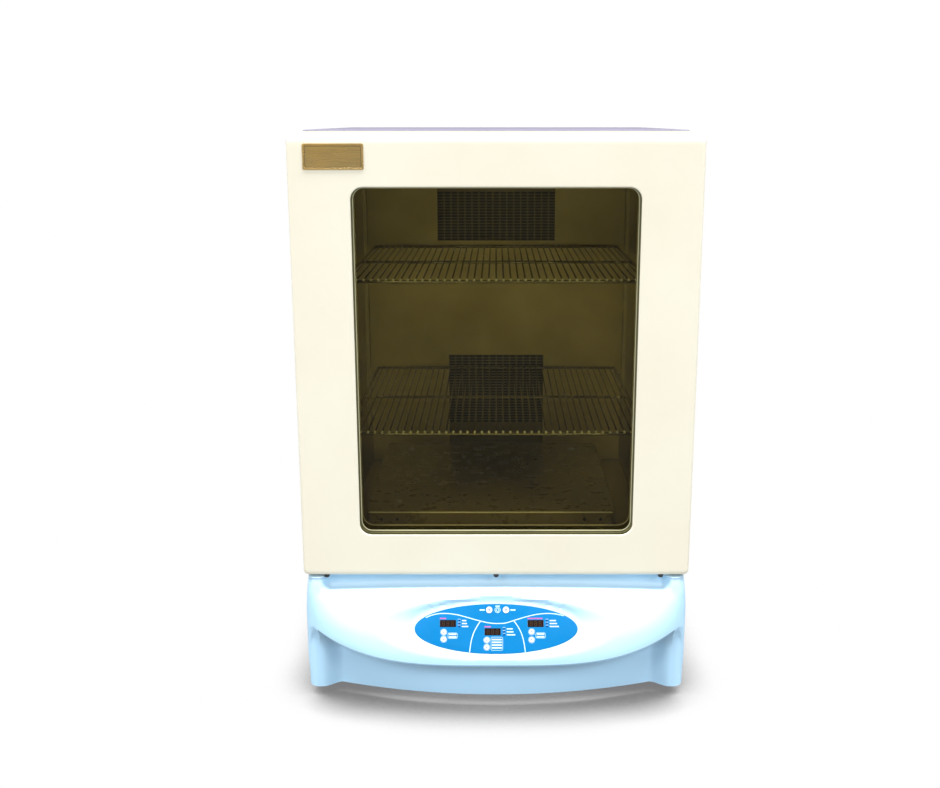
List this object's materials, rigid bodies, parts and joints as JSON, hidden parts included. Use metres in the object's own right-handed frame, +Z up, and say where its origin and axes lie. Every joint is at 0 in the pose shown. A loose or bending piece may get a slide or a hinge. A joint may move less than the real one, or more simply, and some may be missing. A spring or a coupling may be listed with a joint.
{
  "type": "shaking laboratory incubator",
  "caption": "Heated incubator cabinet with a large glass door, wire shelves and an orbital shaker platform driven by a crank, on a blue base with a curved control front.",
  "frame": {"origin": "on the floor under the middle of the overall box", "axes": "+Z up, the door and the controls face -Y, +X to the right of someone facing the door"},
  "size_m": [0.667, 0.768, 0.982],
  "materials": {
    "cream_paint": "satin",
    "roof_paint": "satin",
    "base_paint": "satin",
    "pale_blue_plastic": "satin",
    "panel_blue": "gloss",
    "display_black": "gloss",
    "lamp_blue": "gloss",
    "key_white": "satin",
    "black_plastic": "matte",
    "red_plastic": "satin",
    "white_plastic": "satin",
    "rubber_black": "matte",
    "seal_grey": "matte",
    "tinted_glass": "gloss",
    "clear_glass": "gloss",
    "stainless": "satin",
    "steel": "satin",
    "chrome_wire": "polished",
    "brass": "satin",
    "aluminium": "satin",
    "dark_anodised": "satin",
    "cast_grey": "matte",
    "weight_iron": "matte",
    "motor_grey": "satin",
    "board_green": "satin",
    "mineral_wool": "matte",
    "bronze": "satin",
    "heater_steel": "matte"
  },
  "bodies": {
    "cabinet": {"feet": "rubber_black", "base_frame": "base_paint", "base_deck": "steel", "front_fascia": "pale_blue_plastic", "control_panel": "panel_blue", "displays": "display_black", "indicator_lamps": "lamp_blue", "control_board": "board_green", "power_supply": "aluminium", "power_inlet": "black_plastic", "drive_motor": "motor_grey", "drive_belt": "rubber_black", "bearing_housings": "cast_grey", "crank_bearings": "steel", "cabinet_shell": "cream_paint", "top_cover": "roof_paint", "front_frame": "cream_paint", "chamber_liner": "stainless", "insulation": "mineral_wool", "rear_cover": "cream_paint", "rear_duct_panel": "stainless", "heater": "heater_steel", "fan_motor": "motor_grey", "temperature_probe": "stainless", "pilasters": "stainless", "shelf_clips": "stainless", "hinge_brackets": "steel", "case_screws": "steel"},
    "door": {"door_skin": "cream_paint", "door_insulation": "mineral_wool", "door_liner": "white_plastic", "door_seal": "seal_grey", "outer_glass": "tinted_glass", "inner_glass": "clear_glass", "window_frame": "aluminium", "window_gasket": "seal_grey", "nameplate": "brass", "door_plugs": "black_plastic", "hinge_bushes": "bronze"},
    "main_crank": {"main_crank": "steel", "drive_pulley": "aluminium", "counterweight": "weight_iron"},
    "motor_rotor": {"motor_pulley": "steel"},
    "idler_left": {"idler_crank_left": "steel"},
    "idler_right": {"idler_crank_right": "steel"},
    "platform": {"platform_carriage": "cast_grey", "platform": "dark_anodised", "platform_screws": "steel"},
    "upper_shelf": {"shelf_upper": "chrome_wire"},
    "lower_shelf": {"shelf_lower": "chrome_wire"},
    "fan": {"fan_wheel": "aluminium"},
    "rocker": {"power_switch": "red_plastic"},
    "key_start": {"key_start": "key_white"},
    "key_stop": {"key_stop": "key_white"},
    "key_left_up": {"key_left_up": "key_white"},
    "key_left_down": {"key_left_down": "key_white"},
    "key_middle_up": {"key_middle_up": "key_white"},
    "key_middle_down": {"key_middle_down": "key_white"},
    "key_right_up": {"key_right_up": "key_white"},
    "key_right_down": {"key_right_down": "key_white"}
  },
  "joints": [
    {"name": "door_hinge", "type": "hinge", "parent": "cabinet", "child": "door", "pos_m": [-0.318, -0.29, 0.604], "axis": [0, 0, -1], "range_deg": [0, 110]},
    {"name": "crank_spin", "type": "hinge", "parent": "cabinet", "child": "main_crank", "pos_m": [0, 0.14, 0.15], "axis": [0, 0, 1], "continuous": true},
    {"name": "motor_spin", "type": "hinge", "parent": "cabinet", "child": "motor_rotor", "pos_m": [-0.165, 0.14, 0.08], "axis": [0, 0, 1], "continuous": true},
    {"name": "left_idler_spin", "type": "hinge", "parent": "cabinet", "child": "idler_left", "pos_m": [-0.15, -0.06, 0.2], "axis": [0, 0, 1], "continuous": true},
    {"name": "right_idler_spin", "type": "hinge", "parent": "cabinet", "child": "idler_right", "pos_m": [0.15, -0.06, 0.2], "axis": [0, 0, 1], "continuous": true},
    {"name": "platform_orbit", "type": "hinge", "parent": "main_crank", "child": "platform", "pos_m": [-0.0095, 0.14, 0.28], "axis": [0, 0, 1], "continuous": true},
    {"name": "upper_shelf_slide", "type": "slide", "parent": "cabinet", "child": "upper_shelf", "axis": [0, -1, 0], "range_m": [-0.004, 0.018]},
    {"name": "lower_shelf_slide", "type": "slide", "parent": "cabinet", "child": "lower_shelf", "axis": [0, -1, 0], "range_m": [-0.004, 0.018]},
    {"name": "fan_spin", "type": "hinge", "parent": "cabinet", "child": "fan", "pos_m": [0, 0.34, 0.62], "axis": [0, 1, 0], "continuous": true},
    {"name": "power_rocker", "type": "hinge", "parent": "cabinet", "child": "rocker", "pos_m": [0.195, 0.38, 0.09], "axis": [1, 0, 0], "range_deg": [0, 16]},
    {"name": "key_start_press", "type": "slide", "parent": "cabinet", "child": "key_start", "axis": [0, 0.8829, -0.4695], "range_m": [0, 0.0005], "stiffness_N_per_m": 600},
    {"name": "key_stop_press", "type": "slide", "parent": "cabinet", "child": "key_stop", "axis": [0, 0.8829, -0.4695], "range_m": [0, 0.0005], "stiffness_N_per_m": 600},
    {"name": "key_left_up_press", "type": "slide", "parent": "cabinet", "child": "key_left_up", "axis": [0, 0.8829, -0.4695], "range_m": [0, 0.0005], "stiffness_N_per_m": 600},
    {"name": "key_left_down_press", "type": "slide", "parent": "cabinet", "child": "key_left_down", "axis": [0, 0.8829, -0.4695], "range_m": [0, 0.0005], "stiffness_N_per_m": 600},
    {"name": "key_middle_up_press", "type": "slide", "parent": "cabinet", "child": "key_middle_up", "axis": [0, 0.8829, -0.4695], "range_m": [0, 0.0005], "stiffness_N_per_m": 600},
    {"name": "key_middle_down_press", "type": "slide", "parent": "cabinet", "child": "key_middle_down", "axis": [0, 0.8829, -0.4695], "range_m": [0, 0.0005], "stiffness_N_per_m": 600},
    {"name": "key_right_up_press", "type": "slide", "parent": "cabinet", "child": "key_right_up", "axis": [0, 0.8829, -0.4695], "range_m": [0, 0.0005], "stiffness_N_per_m": 600},
    {"name": "key_right_down_press", "type": "slide", "parent": "cabinet", "child": "key_right_down", "axis": [0, 0.8829, -0.4695], "range_m": [0, 0.0005], "stiffness_N_per_m": 600}
  ],
  "couplings": [
    {"joint": "motor_spin", "follows": "crank_spin", "ratio": 3.0909},
    {"joint": "left_idler_spin", "follows": "crank_spin", "ratio": 1},
    {"joint": "right_idler_spin", "follows": "crank_spin", "ratio": 1},
    {"joint": "platform_orbit", "follows": "crank_spin", "ratio": -1}
  ]
}
